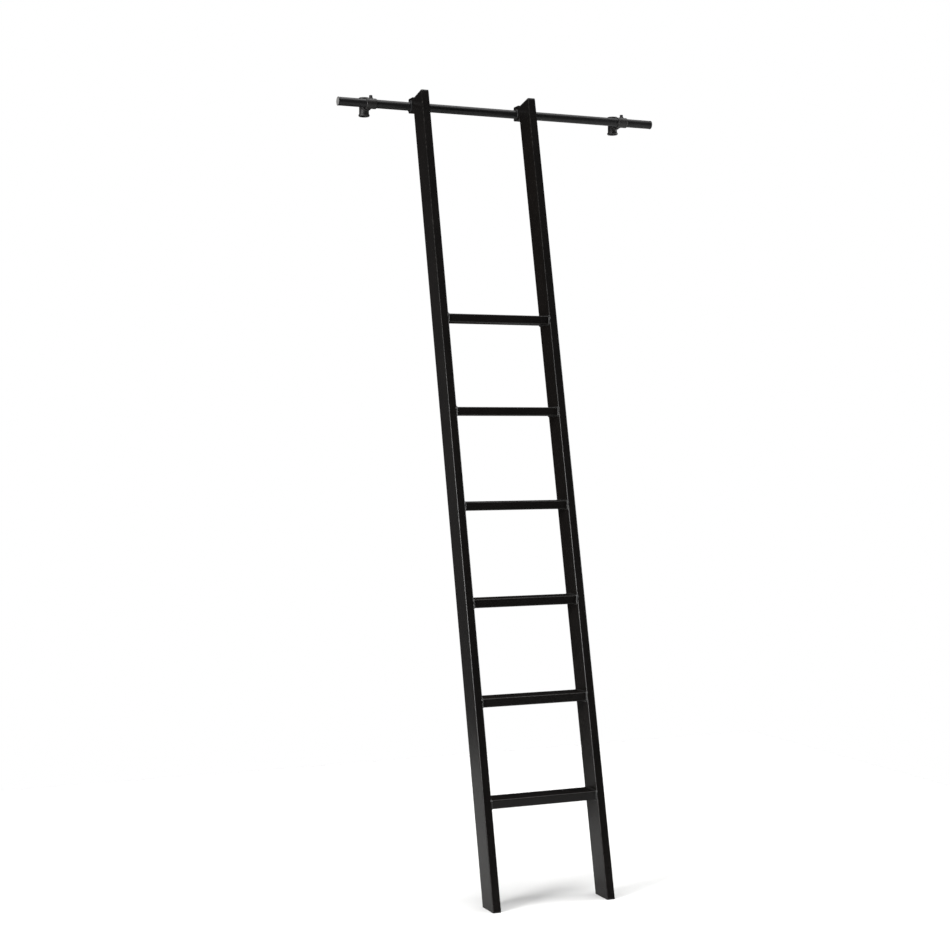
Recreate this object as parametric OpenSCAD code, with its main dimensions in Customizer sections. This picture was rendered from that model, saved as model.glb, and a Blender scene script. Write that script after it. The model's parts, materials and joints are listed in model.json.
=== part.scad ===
// Library ladder: six level treads between two leaning stiles. The stiles hang
// by welded eyes from a round rail, which two brackets hold to upright posts.
// Lengths are in millimetres. The floor is z = 0 and the rail runs along X.

/* [Rail] */
// Height of the rail's axis above the floor
rail_h = 2240; // [1860:1:2700]
// Length of the rail tube without its end caps
rail_len = 1020; // [850:1:1600]
// Outer diameter of the rail
rail_d = 25; // [20:0.5:32]
// Wall of the rail tube
rail_wall = 1.5; // [1:0.1:3]
// Thickness of an end cap's button outside the tube
end_cap_t = 3.5; // [2:0.1:8]
// How far the end cap's button stands proud of the tube
end_cap_lip = 0.5; // [0:0.1:2]
// Depth of the end cap's plug inside the tube
end_cap_plug = 14; // [6:1:30]

/* [Rail brackets] */
// Distance from the end of the rail tube to a bracket's middle
bracket_inset = 99; // [40:1:160]
// Distance from the rail's axis to the post's axis
post_gap = 60; // [58:1:120]
// Diameter of the upright post that a tee slips over
post_d = 21.3; // [17:0.1:27]
// Radial room between a tee's bore and the post
post_room = 0.25; // [0.1:0.05:0.5]
// Wall of the tee's body
tee_wall = 3.6; // [2.5:0.1:6]
// Height of the tee along the post
tee_h = 55; // [45:1:80]
// Reach of the tee's branch from the post's axis
tee_reach = 27; // [25:1:30]
// How far the beads stand proud of the tee's body
bead_proud = 2; // [1:0.1:4]
// Width of a bead
bead_w = 7; // [4:0.5:12]
// Outer diameter of the short pipe between the sleeve and the tee
nipple_d = 21.3; // [16:0.1:24]
// Wall of the short pipe
nipple_wall = 2.6; // [1.5:0.1:4]
// Depth of the short pipe in the tee's branch
nipple_seat = 10; // [6:0.5:14]
// Length of the sleeve along the rail
sleeve_len = 32; // [24:1:60]
// Wall of the sleeve around the rail
sleeve_wall = 2.8; // [2:0.1:6]
// Length of the sleeve's socket for the short pipe
sleeve_socket = 8; // [5:0.5:12]
// Thread diameter of the set screws
screw_d = 6; // [4:0.5:8]
// Diameter of a set screw's cap head
screw_head_d = 10; // [7:0.5:13]
// Height of a set screw's cap head
screw_head_h = 6; // [4:0.5:8]
// Height of the screw boss above the sleeve
screw_boss = 2.7; // [1:0.1:5]

/* [Stiles] */
// Lean of the stiles away from upright, in degrees
lean = 12.3; // [8:0.1:16]
// Distance between the middles of the two stiles
stile_span = 340; // [280:1:560]
// Width of a stile, seen from the front
stile_w = 24; // [20:0.5:40]
// Depth of a stile, seen from the side
stile_depth = 72; // [50:1:100]
// Wall of the stile tube
stile_wall = 2; // [1.5:0.1:4]
// Outer corner radius of the tubes
tube_corner = 3; // [2.2:0.1:6]
// How far a stile reaches above the rail's axis, along the stile
stile_over = 16; // [10:1:120]
// Place of the ladder's middle along the rail, from the rail's middle
ladder_x = -105; // [-200:1:200]
// Thickness of a stile's top cap
top_cap_t = 4; // [2:0.5:8]
// Thickness of a foot pad
pad_t = 3; // [2:0.5:8]
// Depth of the plugs of the top caps and foot pads inside the stiles
plug_depth = 16; // [8:1:40]
// Room around those plugs
plug_room = 0.2; // [0.05:0.05:0.5]

/* [Treads] */
// Height of the lowest tread's top above the floor
first_tread = 287; // [180:1:350]
// Rise from one tread to the next
tread_rise = 266; // [220:1:320]
// Thickness of a tread
tread_t = 24; // [18:0.5:40]
// Depth of a tread from front to back
tread_depth = 67; // [45:1:75]
// Wall of the tread tube
tread_wall = 2; // [1.5:0.1:4]
// How far a tread's top front edge lies behind the stiles' front faces
tread_inset = 1; // [0:0.1:10]
// Leg of the weld beads
weld_leg = 3; // [1.5:0.1:5]

/* [Eyes and bushes] */
// Wall of the glide bush
bush_wall = 2; // [1.5:0.1:4]
// Running room at the glide bush, inside it and around it
run_room = 0.06; // [0.02:0.01:0.1]
// How far the bush's flange stands proud of its barrel
flange_proud = 3; // [1.5:0.1:3.2]
// Thickness of the bush's flange
flange_t = 3; // [1.5:0.1:5]
// How far the bush's snap lip stands proud of its barrel
lip_proud = 1.2; // [0.5:0.1:2]
// Width of the bush's snap lip
lip_t = 1.5; // [1:0.1:3]
// End room between the bush's shoulders and the eye
end_room = 0.3; // [0.1:0.05:1]
// Web of the eye between its bore and the stile
eye_web = 4.8; // [3.3:0.1:10]
// Wall of the eye behind its bore
eye_back_wall = 3.4; // [3:0.1:10]
// Wall of the eye above its bore
eye_top_wall = 10.4; // [5:0.1:15]
// Wall of the eye below its bore
eye_low_wall = 3; // [3:0.1:10]
// Radius of the eye's rear corners
eye_corner = 4; // [1:0.5:8]

/* [Hidden] */
$fn = 64;
hex_fn = 6;
treads = 6;
rail_r = rail_d / 2;
bracket_x = rail_len / 2 - bracket_inset;
sleeve_r = rail_r + sleeve_wall;
post_bore_r = post_d / 2 + post_room;
tee_r = post_bore_r + tee_wall;
branch_r = tee_r - 1;
tee_bead_r = tee_r + bead_proud;
spigot_room = 0.05;
nipple_r = nipple_d / 2;
nipple_front = sleeve_r + 1;
sleeve_boss_end = nipple_front + sleeve_socket;
nipple_back = post_gap - tee_reach + nipple_seat;
socket_wall = 3;
boss_room = 1.2;
screw_boss_top = sleeve_r + screw_boss;
socket_af = screw_d * 0.83;
bush_bore_r = rail_r + run_room;
bush_r = bush_bore_r + bush_wall;
eye_bore_r = bush_r + run_room;
stile_back = eye_bore_r + eye_web;
stile_mid = stile_back + stile_depth / 2;
stile_front = stile_back + stile_depth;
inner_corner = max(tube_corner - stile_wall, 0.2);
eye_rear = eye_bore_r + eye_back_wall;
eye_top = eye_bore_r + eye_top_wall;
eye_low = eye_bore_r + eye_low_wall;
tread_len = stile_span - stile_w;
// Foot of the stiles' front faces on the floor, behind and below the rail's axis
foot_w = (-rail_h - stile_front * sin(lean)) / cos(lean);
foot_front_y = front_y(-rail_h);
// The frame's middle from front to back lies halfway between foot and tee
rail_y = -(foot_front_y + post_gap + tee_bead_r) / 2;
frame_steel = "#1b1b1d";
rail_steel = "#202124";
bright_steel = "#9b9b98";
rubber_black = "#141414";
nylon = "#2b2b2d";

// y of the stiles' front faces at height z, both from the rail's axis
function front_y(z) = -stile_front * cos(lean) + (z - stile_front * sin(lean)) * tan(lean);
// y of the stiles' back faces at height z, both from the rail's axis
function back_y(z) = -stile_back * cos(lean) + (z - stile_back * sin(lean)) * tan(lean);
// Height of a tread's top from the rail's axis, counted from 1 at the bottom
function tread_top(i) = first_tread + (i - 1) * tread_rise - rail_h;

// Moves its children to the rail's axis at the rail's middle
module at_rail() {
    translate([0, rail_y, rail_h]) children();
}

// Turns its children into the ladder's own axes: +Z runs up the stiles
module leaning() {
    translate([ladder_x, 0, 0]) rotate([-lean, 0, 0]) children();
}

// Stands a flat profile up so that it is pushed along X, centred on it
module along_x(length) {
    translate([-length / 2, 0, 0]) rotate([90, 0, 90]) linear_extrude(length) children();
}

module disc_along_x(r, x0, x1) {
    translate([x0, 0, 0]) rotate([0, 90, 0]) cylinder(r = r, h = x1 - x0);
}

module rod_along_y(r, y0, y1) {
    translate([0, y0, 0]) rotate([-90, 0, 0]) cylinder(r = r, h = y1 - y0);
}

module rounded_box(width, depth, r) {
    square([width - 2 * r, depth], center = true);
    square([width, depth - 2 * r], center = true);
    for (sx = [-1, 1], sy = [-1, 1]) {
        translate([sx * (width / 2 - r), sy * (depth / 2 - r)]) circle(r);
    }
}

module tube_section(width, depth, wall) {
    difference() {
        rounded_box(width, depth, tube_corner);
        rounded_box(width - 2 * wall, depth - 2 * wall, max(tube_corner - wall, 0.2));
    }
}

// Rail

module rail_tube() {
    color(rail_steel) at_rail() difference() {
        disc_along_x(rail_r, -rail_len / 2, rail_len / 2);
        disc_along_x(rail_r - rail_wall, -rail_len / 2 - 1, rail_len / 2 + 1);
    }
}

module rail_end_cap(side) {
    plug_r = rail_r - rail_wall - spigot_room;
    color(bright_steel) at_rail() mirror([side < 0 ? 1 : 0, 0, 0]) {
        disc_along_x(rail_r + end_cap_lip, rail_len / 2, rail_len / 2 + end_cap_t);
        disc_along_x(plug_r, rail_len / 2 - end_cap_plug, rail_len / 2 + 1);
    }
}

// Brackets

module rail_sleeve(side) {
    boss_r = nipple_r + spigot_room + socket_wall;
    color(frame_steel) at_rail() translate([side * bracket_x, 0, 0]) difference() {
        union() {
            disc_along_x(sleeve_r, -sleeve_len / 2, sleeve_len / 2);
            rod_along_y(boss_r, 0, sleeve_boss_end);
            cylinder(r = screw_head_d / 2 + boss_room, h = screw_boss_top);
        }
        disc_along_x(rail_r + spigot_room, -sleeve_len, sleeve_len);
        rod_along_y(nipple_r + spigot_room, nipple_front, sleeve_boss_end + 1);
        cylinder(r = screw_d / 2 + spigot_room, h = screw_boss_top + 1);
    }
}

module pipe_nipple(side) {
    color(rail_steel) at_rail() translate([side * bracket_x, 0, 0]) difference() {
        rod_along_y(nipple_r, nipple_front, nipple_back);
        rod_along_y(nipple_r - nipple_wall, nipple_front - 1, nipple_back + 1);
    }
}

module post_tee(side) {
    branch_end = post_gap - tee_reach;
    color(frame_steel) at_rail() translate([side * bracket_x, 0, 0]) difference() {
        union() {
            translate([0, post_gap, 0]) {
                cylinder(r = tee_r, h = tee_h, center = true);
                for (s = [-1, 1]) {
                    translate([0, 0, s * (tee_h - bead_w) / 2])
                        cylinder(r = tee_bead_r, h = bead_w, center = true);
                }
            }
            rod_along_y(branch_r, branch_end, post_gap);
            rod_along_y(branch_r + bead_proud, branch_end, branch_end + bead_w);
        }
        translate([0, post_gap, 0]) cylinder(r = post_bore_r, h = tee_h + 2, center = true);
        rod_along_y(nipple_r + spigot_room, branch_end - 1, nipple_back);
        rod_along_y(screw_d / 2 + spigot_room, post_gap, post_gap + tee_bead_r + 1);
    }
}

module hex_socket(depth) {
    cylinder(r = socket_af / sqrt(3), h = depth, $fn = hex_fn);
}

module rail_set_screws() {
    color(frame_steel) at_rail() for (side = [-1, 1]) translate([side * bracket_x, 0, 0]) {
        difference() {
            union() {
                translate([0, 0, rail_r + spigot_room])
                    cylinder(r = screw_d / 2, h = screw_boss_top - rail_r);
                translate([0, 0, screw_boss_top])
                    cylinder(r = screw_head_d / 2, h = screw_head_h);
            }
            translate([0, 0, screw_boss_top + screw_head_h / 2]) hex_socket(screw_head_h);
        }
    }
}

module post_set_screws() {
    screw_len = tee_wall + bead_proud / 2;
    color(frame_steel) at_rail() for (side = [-1, 1]) {
        translate([side * bracket_x, post_gap + post_bore_r, 0]) rotate([-90, 0, 0])
            difference() {
                cylinder(r = screw_d / 2, h = screw_len);
                translate([0, 0, screw_len / 2]) hex_socket(screw_len);
            }
    }
}

// Glide bushes

module glide_bush(side) {
    half = stile_w / 2 + end_room;
    color(nylon) at_rail() translate([ladder_x + side * stile_span / 2, 0, 0])
        mirror([side < 0 ? 1 : 0, 0, 0]) difference() {
            union() {
                disc_along_x(bush_r, -half - lip_t, half + flange_t);
                disc_along_x(bush_r + flange_proud, half, half + flange_t);
                disc_along_x(bush_r + lip_proud, -half - lip_t, -half);
            }
            disc_along_x(bush_bore_r, -half - lip_t - 1, half + flange_t + 1);
        }
}

// Ladder

// Slab of the whole floor area between two heights above the floor
module floor_slab(z0, z1) {
    reach = rail_h;
    translate([ladder_x - reach, -reach, z0 - rail_h]) cube([2 * reach, 2 * reach, z1 - z0]);
}

// Prism along one stile from past its foot up to w1
module stile_prism(side, w1) {
    w0 = foot_w - stile_depth;
    leaning() translate([side * stile_span / 2, -stile_mid, w0])
        linear_extrude(w1 - w0) children();
}

module stile(side) {
    color(frame_steel) at_rail() difference() {
        stile_prism(side, stile_over - top_cap_t)
            tube_section(stile_w, stile_depth, stile_wall);
        floor_slab(-2 * stile_depth, pad_t);
    }
}

module plug_section() {
    wall = stile_wall + plug_room;
    rounded_box(stile_w - 2 * wall, stile_depth - 2 * wall, inner_corner);
}

module top_cap(side) {
    color(rubber_black) at_rail() leaning() translate([side * stile_span / 2, -stile_mid, 0]) {
        translate([0, 0, stile_over - top_cap_t])
            linear_extrude(top_cap_t) rounded_box(stile_w, stile_depth, tube_corner);
        translate([0, 0, stile_over - top_cap_t - plug_depth])
            linear_extrude(plug_depth + top_cap_t / 2) plug_section();
    }
}

module foot_pad(side) {
    color(rubber_black) at_rail() {
        intersection() {
            stile_prism(side, 0) rounded_box(stile_w, stile_depth, tube_corner);
            floor_slab(0, pad_t);
        }
        intersection() {
            stile_prism(side, 0) plug_section();
            floor_slab(pad_t / 2, pad_t + plug_depth);
        }
    }
}

// Everything in front of the stiles' back faces, as a flat profile beside the rail's axis
module stile_side_area() {
    reach = 4 * eye_top;
    rotate(-lean) translate([-stile_back - reach, -reach]) square([reach, 2 * reach]);
}

module eye_profile() {
    eye_h = eye_top + eye_low;
    difference() {
        union() {
            translate([-stile_front, -eye_low]) square([stile_front + eye_rear - eye_corner, eye_h]);
            translate([-stile_front, eye_corner - eye_low])
                square([stile_front + eye_rear, eye_h - 2 * eye_corner]);
            for (z = [eye_corner - eye_low, eye_top - eye_corner]) {
                translate([eye_rear - eye_corner, z]) circle(eye_corner);
            }
        }
        stile_side_area();
        circle(eye_bore_r);
    }
}

module rail_eye(side) {
    color(frame_steel) at_rail() translate([ladder_x + side * stile_span / 2, 0, 0])
        along_x(stile_w) eye_profile();
}

module tread(i) {
    z = tread_top(i);
    color(frame_steel) at_rail()
        translate([ladder_x, front_y(z) + tread_inset + tread_depth / 2, z - tread_t / 2])
            along_x(tread_len) tube_section(tread_depth, tread_t, tread_wall);
}

// Quarter-round bead in the corner at the origin, pushed along +Y
module weld_bead(length) {
    translate([0, length, 0]) rotate([90, 0, 0]) linear_extrude(length) intersection() {
        circle(weld_leg);
        square(weld_leg);
    }
}

module tread_welds() {
    bead_len = tread_depth - 2 * tube_corner;
    color(frame_steel) at_rail() for (i = [1:treads], side = [-1, 1], top = [0, 1]) {
        z = tread_top(i);
        translate([ladder_x, front_y(z) + tread_inset + tube_corner, z - (1 - top) * tread_t])
            mirror([side > 0 ? 1 : 0, 0, 0]) translate([-tread_len / 2, 0, 0])
                mirror([0, 0, 1 - top]) weld_bead(bead_len);
    }
}

// Beads across the stile under each eye, between the eye's lower face and the stile
module eye_welds() {
    bead_len = stile_w - 2 * tube_corner;
    color(frame_steel) at_rail() for (side = [-1, 1]) {
        translate([ladder_x + side * stile_span / 2, back_y(-eye_low), -eye_low])
            along_x(bead_len) difference() {
                intersection() {
                    circle(weld_leg);
                    translate([-weld_leg, -weld_leg]) square([2 * weld_leg, weld_leg]);
                }
                rotate(-lean) translate([-2 * weld_leg, -2 * weld_leg])
                    square([2 * weld_leg, 4 * weld_leg]);
            }
    }
}

rail_tube();
rail_end_cap(-1);  // left_rail_end_cap
rail_end_cap(1);  // right_rail_end_cap
rail_sleeve(-1);  // left_rail_sleeve
rail_sleeve(1);  // right_rail_sleeve
pipe_nipple(-1);  // left_pipe_nipple
pipe_nipple(1);  // right_pipe_nipple
post_tee(-1);  // left_post_tee
post_tee(1);  // right_post_tee
rail_set_screws();
post_set_screws();
glide_bush(-1);  // left_glide_bush
glide_bush(1);  // right_glide_bush
stile(-1);  // left_stile
stile(1);  // right_stile
top_cap(-1);  // left_top_cap
top_cap(1);  // right_top_cap
foot_pad(-1);  // left_foot_pad
foot_pad(1);  // right_foot_pad
rail_eye(-1);  // left_rail_eye
rail_eye(1);  // right_rail_eye
tread(1);  // tread_1
tread(2);  // tread_2
tread(3);  // tread_3
tread(4);  // tread_4
tread(5);  // tread_5
tread(6);  // tread_6
tread_welds();
eye_welds();
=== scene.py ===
import json
import math

import bmesh
import bpy
from mathutils import Matrix, Quaternion, Vector

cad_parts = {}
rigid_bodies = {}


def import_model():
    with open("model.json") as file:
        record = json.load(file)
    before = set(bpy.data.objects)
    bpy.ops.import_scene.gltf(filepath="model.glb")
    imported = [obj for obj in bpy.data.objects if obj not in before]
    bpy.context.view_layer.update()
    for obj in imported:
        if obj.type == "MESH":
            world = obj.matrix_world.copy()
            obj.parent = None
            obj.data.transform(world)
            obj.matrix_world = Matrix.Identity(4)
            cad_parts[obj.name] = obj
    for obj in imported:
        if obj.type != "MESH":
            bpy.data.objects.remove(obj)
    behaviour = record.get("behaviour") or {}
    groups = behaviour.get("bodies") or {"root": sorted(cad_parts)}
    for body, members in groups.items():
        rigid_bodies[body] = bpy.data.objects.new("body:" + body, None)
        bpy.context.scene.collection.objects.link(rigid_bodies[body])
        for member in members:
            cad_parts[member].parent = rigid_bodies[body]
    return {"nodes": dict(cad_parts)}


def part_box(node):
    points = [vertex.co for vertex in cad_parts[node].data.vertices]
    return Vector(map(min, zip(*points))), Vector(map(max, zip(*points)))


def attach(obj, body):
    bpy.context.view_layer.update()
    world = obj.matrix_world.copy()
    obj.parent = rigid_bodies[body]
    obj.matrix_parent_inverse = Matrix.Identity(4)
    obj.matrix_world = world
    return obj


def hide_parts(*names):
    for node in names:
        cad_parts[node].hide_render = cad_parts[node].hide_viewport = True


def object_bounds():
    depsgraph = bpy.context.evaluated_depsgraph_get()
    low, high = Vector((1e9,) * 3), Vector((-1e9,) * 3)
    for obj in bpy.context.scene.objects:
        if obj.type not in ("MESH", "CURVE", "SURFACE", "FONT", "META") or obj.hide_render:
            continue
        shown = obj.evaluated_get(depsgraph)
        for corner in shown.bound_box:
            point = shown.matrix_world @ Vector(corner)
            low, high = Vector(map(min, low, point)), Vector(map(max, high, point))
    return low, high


# Library ladder on its rail: the studio, the finishes and the detailed pieces.
# Lengths are in metres. +Z is up, and the rail runs along X.

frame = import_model()
cadLow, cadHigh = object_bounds()
print("frame loaded:", len(frame["nodes"]), "nodes")


# Places taken from the frame

def middle(node):
    low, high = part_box(node)
    return (low + high) / 2


def extent(node):
    low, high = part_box(node)
    return high - low


railMid = middle("rail_tube")
railRadius = extent("rail_tube").z / 2
lowTread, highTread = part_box("tread_1")[0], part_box("tread_6")[0]
leanTangent = (highTread.y - lowTread.y) / (highTread.z - lowTread.z)
lean = math.atan(leanTangent)
ladderX = middle("tread_1").x
stileWidth = extent("left_stile").x
stileX = {"left": middle("left_stile").x, "right": middle("right_stile").x}
treadSize = extent("tread_1")
bracketX = {"left": middle("left_post_tee").x, "right": middle("right_post_tee").x}
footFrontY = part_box("left_foot_pad")[0].y

# The ladder's own axes: x along the rail, y square to the stiles' faces, z up the stiles
ladderAxes = (Matrix.Translation(Vector((ladderX, railMid.y, railMid.z)))
              @ Matrix.Rotation(-lean, 4, "X"))
toLadder = ladderAxes.inverted()
stileFront = toLadder @ Vector((ladderX, footFrontY, 0.0))
topCorner = toLadder @ Vector((ladderX, footFrontY + cadHigh.z * leanTangent, cadHigh.z))
stileTop = topCorner.z


# Camera, floor and light

studio = {
    "cameraSpot": (-2.1115, -4.5303, 1.2386),
    "cameraTurn": 22.94,        # degrees from +Y towards +X
    "cameraTilt": -0.93,
    "cameraRoll": -0.28,
    "lens": 65.7,
    "floorSize": 3.8,
    "floorColour": (0.75, 0.75, 0.745, 1.0),
    "bounceColour": (0.42, 0.42, 0.415, 1.0),   # what the ladder gets back from the floor
    # the card paints a dark reflection into the ladder's glossy faces
    "cardSides": (-0.4, 0.14),  # a dark card behind the ladder, mirrored but never seen
    "cardBack": 0.62,
    "cardTop": 2.3,
    "cardColour": (0.02, 0.016, 0.013, 1.0),
}


def makeCamera():
    data = bpy.data.cameras.new("studioCamera")
    data.lens = studio["lens"]
    data.sensor_width = 36.0
    turn, tilt = math.radians(studio["cameraTurn"]), math.radians(studio["cameraTilt"])
    ahead = Vector((math.sin(turn) * math.cos(tilt), math.cos(turn) * math.cos(tilt), math.sin(tilt)))
    camera = bpy.data.objects.new("studioCamera", data)
    camera.location = studio["cameraSpot"]
    camera.rotation_mode = "QUATERNION"
    roll = Quaternion((0.0, 0.0, 1.0), math.radians(studio["cameraRoll"]))
    camera.rotation_quaternion = ahead.to_track_quat("-Z", "Y") @ roll
    bpy.context.scene.collection.objects.link(camera)
    bpy.context.scene.camera = camera


lamps = {
    # name: place, aims at, width, height, watts
    "keyLeft": ((-4.2, -1.65, 1.75), (-0.2, -0.1, 1.2), 1.5, 1.9, 250.0),
    "fillRight": ((4.0, -0.9, 1.9), (0.0, 0.0, 1.2), 1.2, 2.2, 110.0),
}


def makeLamps():
    for name, (place, aim, width, height, watts) in lamps.items():
        data = bpy.data.lights.new(name, "AREA")
        data.shape = "RECTANGLE"
        data.size, data.size_y, data.energy = width, height, watts
        lamp = bpy.data.objects.new(name, data)
        lamp.visible_camera = False
        lamp.location = place
        lamp.rotation_mode = "QUATERNION"
        lamp.rotation_quaternion = (Vector(aim) - Vector(place)).to_track_quat("-Z", "Y")
        bpy.context.scene.collection.objects.link(lamp)


def addNode(tree, kind, settings=None, **sockets):
    node = tree.nodes.new(kind)
    for key, value in (settings or {}).items():
        setattr(node, key, value)
    for key, value in sockets.items():
        node.inputs[key].default_value = value
    return node


def ranged(tree, source, low, high, toLow, toHigh):
    made = addNode(tree, "ShaderNodeMapRange")
    for key, value in (("From Min", low), ("From Max", high), ("To Min", toLow), ("To Max", toHigh)):
        made.inputs[key].default_value = value
    tree.links.new(source, made.inputs["Value"])
    return made.outputs["Result"]


def reckon(tree, operation, *terms):
    # a math node on these terms, each a number or a socket
    made = addNode(tree, "ShaderNodeMath", {"operation": operation})
    for socket, term in zip(made.inputs, terms):
        if isinstance(term, float):
            socket.default_value = term
        else:
            tree.links.new(term, socket)
    return made.outputs["Value"]


def times(tree, first, second):
    return reckon(tree, "MULTIPLY", first, second)


sky = {
    "rightRing": 0.02,          # round the horizon, as it lights and is mirrored
    "leftRing": 0.13,
    "ringTurn": (0.3, -0.5),    # along X, from the right ring to the left one
    "ringTop": 0.2,             # height at which the ring has faded
    "ringFaded": 0.2,           # share of it that is left there
    "ground": 0.7,              # below the floor's edge, seen steeply
    "groundFall": (-0.28, -0.5),
    "overhead": 7.0,
    "focus": 10.0,              # how tightly the light gathers overhead
    "seen": 1.0,                # as the camera sees it
}


def makeSky():
    # pale all round for the eye; the ladder is lit from overhead, with a dim ring at eye level
    world = bpy.data.worlds.new("paleStudio")
    bpy.context.scene.world = world
    world.use_nodes = True
    tree = world.node_tree
    link = tree.links.new
    background = tree.nodes["Background"]
    coords = addNode(tree, "ShaderNodeTexCoord")
    split = addNode(tree, "ShaderNodeSeparateXYZ")
    link(coords.outputs["Generated"], split.inputs["Vector"])
    gathered = reckon(tree, "POWER", reckon(tree, "MAXIMUM", split.outputs["Z"], 0.0), sky["focus"])
    ring = times(tree, ranged(tree, split.outputs["X"], *sky["ringTurn"], sky["rightRing"], sky["leftRing"]),
                 ranged(tree, split.outputs["Z"], 0.0, sky["ringTop"], 1.0, sky["ringFaded"]))
    ground = ranged(tree, split.outputs["Z"], *sky["groundFall"], 0.0, sky["ground"])
    lit = reckon(tree, "MULTIPLY_ADD", gathered, sky["overhead"], reckon(tree, "MAXIMUM", ring, ground))
    eye = addNode(tree, "ShaderNodeLightPath")
    pick = addNode(tree, "ShaderNodeMix", {"data_type": "FLOAT"})
    link(eye.outputs["Is Camera Ray"], pick.inputs["Factor"])
    link(lit, pick.inputs["A"])
    pick.inputs["B"].default_value = sky["seen"]
    link(pick.outputs["Result"], background.inputs["Strength"])
    background.inputs["Color"].default_value = (1.0, 1.0, 1.0, 1.0)


def makeSheet(name, paintName, corners, roughness, specular):
    # a flat sheet of the studio, with its paint's tree and shader
    mesh = bpy.data.meshes.new(name)
    mesh.from_pydata(corners, [], [(0, 1, 2, 3)])
    sheet = bpy.data.objects.new(name, mesh)
    bpy.context.scene.collection.objects.link(sheet)
    paint = bpy.data.materials.new(paintName)
    paint.use_nodes = True
    mesh.materials.append(paint)
    shader = paint.node_tree.nodes["Principled BSDF"]
    shader.inputs["Roughness"].default_value = roughness
    shader.inputs["Specular IOR Level"].default_value = specular
    return sheet, paint.node_tree, shader


def makeFloor():
    # white to the eye, and a duller one to the ladder that stands on it
    half = studio["floorSize"] / 2
    corners = [(-half, -half, 0.0), (half, -half, 0.0), (half, half, 0.0), (-half, half, 0.0)]
    _, tree, shader = makeSheet("studioFloor", "paleFloor", corners, 0.7, 0.2)
    eye = addNode(tree, "ShaderNodeLightPath")
    pick = addNode(tree, "ShaderNodeMix", {"data_type": "RGBA"})
    tree.links.new(eye.outputs["Is Camera Ray"], pick.inputs[0])
    pick.inputs[6].default_value = studio["bounceColour"]
    pick.inputs[7].default_value = studio["floorColour"]
    tree.links.new(pick.outputs[2], shader.inputs["Base Color"])


def makeReflectionCard():
    # painted reflection: a dark sheet that only glossy rays see, which keeps the inner side of the right stile
    # dark, as a case standing behind it would
    (left, right), back, top = studio["cardSides"], studio["cardBack"], studio["cardTop"]
    corners = [(left, back, 0.0), (right, back, 0.0), (right, back, top), (left, back, top)]
    card, _, shader = makeSheet("darkCard", "darkCard", corners, 0.9, 0.1)
    shader.inputs["Base Color"].default_value = studio["cardColour"]
    card.visible_camera = card.visible_shadow = card.visible_diffuse = False


makeCamera()
makeLamps()
makeSky()
makeFloor()
makeReflectionCard()
bpy.context.scene.view_settings.view_transform = "Standard"
print("studio ready")


# Finishes

paints = {
    # base and lifted colour, roughness range, grain size (per metre) and height, wear on edges
    "ladderCoat": {"dark": (0.0034, 0.0028, 0.0026), "light": (0.0054, 0.0045, 0.0041),
                   "rough": (0.27, 0.33), "grain": 900.0, "height": 0.00002, "wear": 0.4,
                   "worn": (0.06, 0.055, 0.05), "specular": 0.35},
    "railCoat": {"dark": (0.0065, 0.0064, 0.0066), "light": (0.0105, 0.0104, 0.0106),
                 "rough": (0.38, 0.46), "grain": 1200.0, "height": 0.00002, "wear": 0.45,
                 "worn": (0.06, 0.06, 0.062), "specular": 0.32, "streaks": 0.09},
    "castCoat": {"dark": (0.0066, 0.006, 0.0058), "light": (0.012, 0.011, 0.0105),
                 "rough": (0.42, 0.56), "grain": 520.0, "height": 0.00014, "wear": 0.4,
                 "worn": (0.06, 0.058, 0.055), "specular": 0.5},
    # the weld coat is lighter than the ladder's coat: a painted highlight along the beads
    "weldCoat": {"dark": (0.0055, 0.0054, 0.0052), "light": (0.0105, 0.0102, 0.01),
                 "rough": (0.3, 0.42), "grain": 1500.0, "height": 0.00004, "wear": 0.0,
                 "worn": (0.05, 0.05, 0.05), "specular": 0.55},
}


coats = {
    # shared by every paint; the scales are per metre
    "cloudScale": 9.0,
    "speckScale": 160.0,
    "waveScale": 60.0,
    "waveHeight": 0.00025,
    "streakScale": 700.0,
    "streakStretch": 0.02,      # along the rail
    "rubbedSmooth": 0.15,       # roughness lost where an edge is rubbed
}


def objectNoise(tree, coords, scale, detail, roughness=0.5):
    noise = addNode(tree, "ShaderNodeTexNoise", None, Scale=scale, Detail=detail, Roughness=roughness)
    tree.links.new(coords.outputs["Object"], noise.inputs["Vector"])
    return noise


def blended(tree, factor, first, second):
    # a colour between first and second, each a colour or a socket
    made = addNode(tree, "ShaderNodeMix", {"data_type": "RGBA"})
    tree.links.new(factor, made.inputs["Factor"])
    for socket, value in ((made.inputs[6], first), (made.inputs[7], second)):
        if isinstance(value, tuple):
            socket.default_value = (*value, 1.0)
        else:
            tree.links.new(value, socket)
    return made.outputs[2]


def startFinish(name):
    finish = bpy.data.materials.new(name)
    finish.use_nodes = True
    tree = finish.node_tree
    coords = addNode(tree, "ShaderNodeTexCoord")
    return finish, tree, tree.nodes["Principled BSDF"], coords


def bumped(tree, shader, height, distance, strength, under=None):
    bump = addNode(tree, "ShaderNodeBump", None, Strength=strength, Distance=distance)
    tree.links.new(height, bump.inputs["Height"])
    if under is not None:
        tree.links.new(under.outputs["Normal"], bump.inputs["Normal"])
    tree.links.new(bump.outputs["Normal"], shader.inputs["Normal"])
    return bump


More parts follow.
